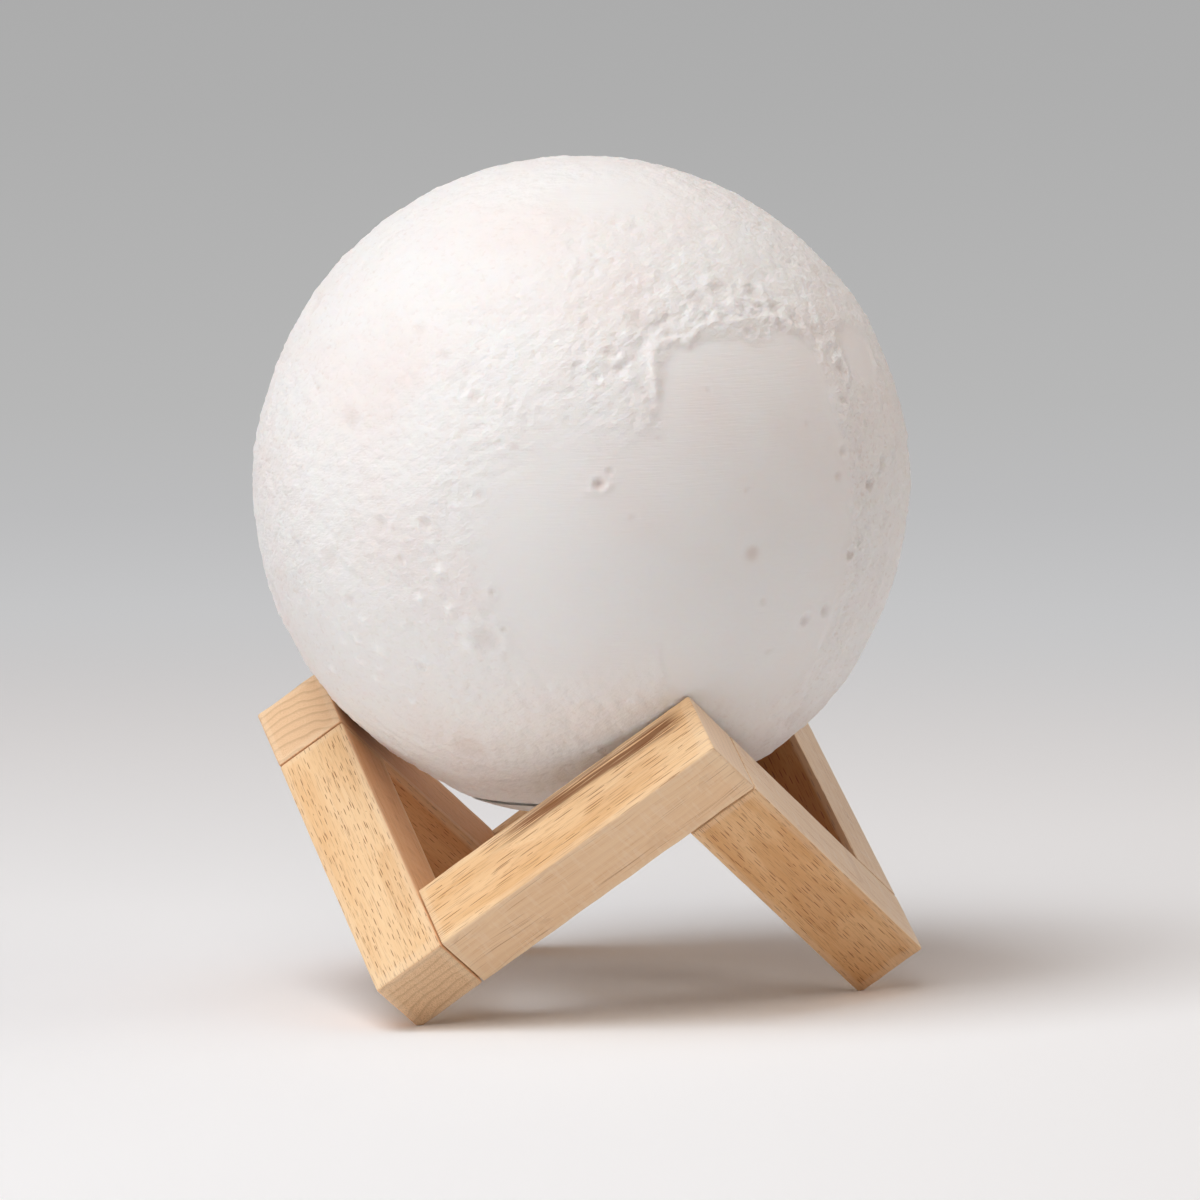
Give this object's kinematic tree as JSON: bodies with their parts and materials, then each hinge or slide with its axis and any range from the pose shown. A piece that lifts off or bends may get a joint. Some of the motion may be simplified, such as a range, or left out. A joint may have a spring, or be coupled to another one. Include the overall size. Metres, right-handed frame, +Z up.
{
  "type": "moon lamp",
  "caption": "Battery moon lamp: thin printed globe with lunar relief, lying loose in a zigzag ring of square wooden bars, with a push button in its cap.",
  "frame": {"origin": "on the table, under the middle of the globe", "axes": "+Z up through the globe, +X to the right as pictured, -Y towards the viewer"},
  "size_m": [0.1512, 0.1495, 0.1916],
  "materials": {
    "beech": "bare planed beech",
    "dowel_beech": "bare turned beech",
    "pla": "matt printed, fine layers",
    "abs_white": "satin moulded",
    "abs_grey": "satin moulded",
    "nylon_black": "matt moulded",
    "steel": "brushed",
    "plated_steel": "bright plated",
    "brass": "bright",
    "acrylic": "clear polished",
    "circuit_board": "solder mask",
    "chip_epoxy": "matt moulded",
    "foil": "crimped foil",
    "foam": "open-celled",
    "wire_pvc": "satin",
    "board_aluminium": "white coated",
    "phosphor": "cast resin",
    "frosted_pc": "frosted"
  },
  "bodies": {
    "stand": {"seat_bar_1": "beech", "seat_bar_2": "beech", "seat_bar_3": "beech", "leg_bar_1": "beech", "leg_bar_2": "beech", "leg_bar_3": "beech", "stand_dowels": "dowel_beech"},
    "globe": {"globe_shell": "pla", "base_cap": "abs_white", "touch_ring": "steel", "charge_port": "plated_steel", "port_tongue": "nylon_black", "charge_light": "acrylic", "switch_body": "nylon_black", "touch_contact": "brass", "control_board": "circuit_board", "board_parts": "chip_epoxy", "battery_tray": "abs_white", "battery_pad": "foam", "battery_cell": "foil", "battery_leads": "wire_pvc", "tray_screws": "plated_steel", "light_pillar": "abs_white", "pillar_screws": "plated_steel", "led_board": "board_aluminium", "led_chips": "phosphor", "led_screws": "plated_steel", "led_leads": "wire_pvc", "diffuser_dome": "frosted_pc"},
    "button": {"power_button": "abs_grey", "switch_plunger": "nylon_black"}
  },
  "joints": [
    {"name": "globe_lift", "type": "slide", "parent": "stand", "child": "globe", "axis": [0, 0, 1], "range_m": [0, 0.12]},
    {"name": "power_press", "type": "slide", "parent": "globe", "child": "button", "axis": [0, 0, 1], "range_m": [0, 0.001], "stiffness_N_per_m": 800, "springref_m": -0.0005}
  ]
}
